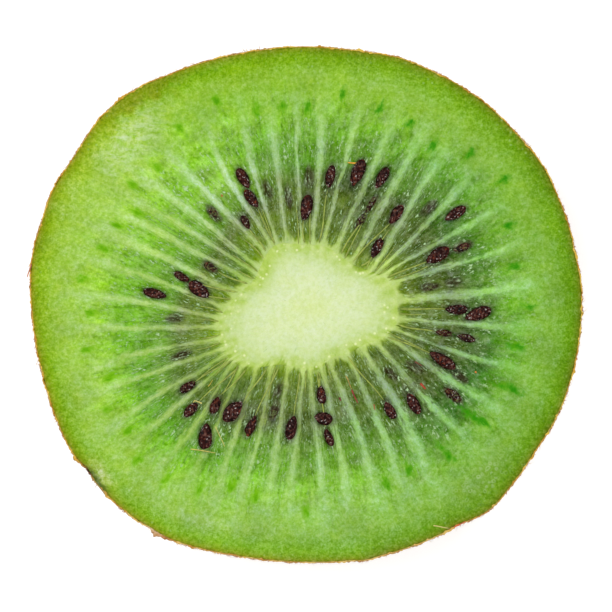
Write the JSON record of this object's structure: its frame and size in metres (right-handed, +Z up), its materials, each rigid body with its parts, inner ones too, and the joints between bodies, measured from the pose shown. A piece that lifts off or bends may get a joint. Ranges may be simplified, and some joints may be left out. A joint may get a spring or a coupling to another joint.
{
  "type": "kiwi slice",
  "caption": "Slice of green kiwi fruit cut straight across, with a pale core, pale rays, a ring of small dark seeds and a thin hairy brown skin, lying flat on one cut face.",
  "frame": {"origin": "on the lower cut face, at the middle of the slice's bounding box in X and Y", "axes": "+Z up through the slice's thickness, +X along its longest width, +Y across it; the upper cut face is the one that was shown"},
  "size_m": [0.0524, 0.049, 0.0091],
  "materials": {
    "flesh": "satin",
    "skin": "matte",
    "fuzz": "matte",
    "seed": "gloss",
    "thread": "satin"
  },
  "bodies": {
    "root": {"kiwi_slice": "flesh"}
  },
  "joints": []
}
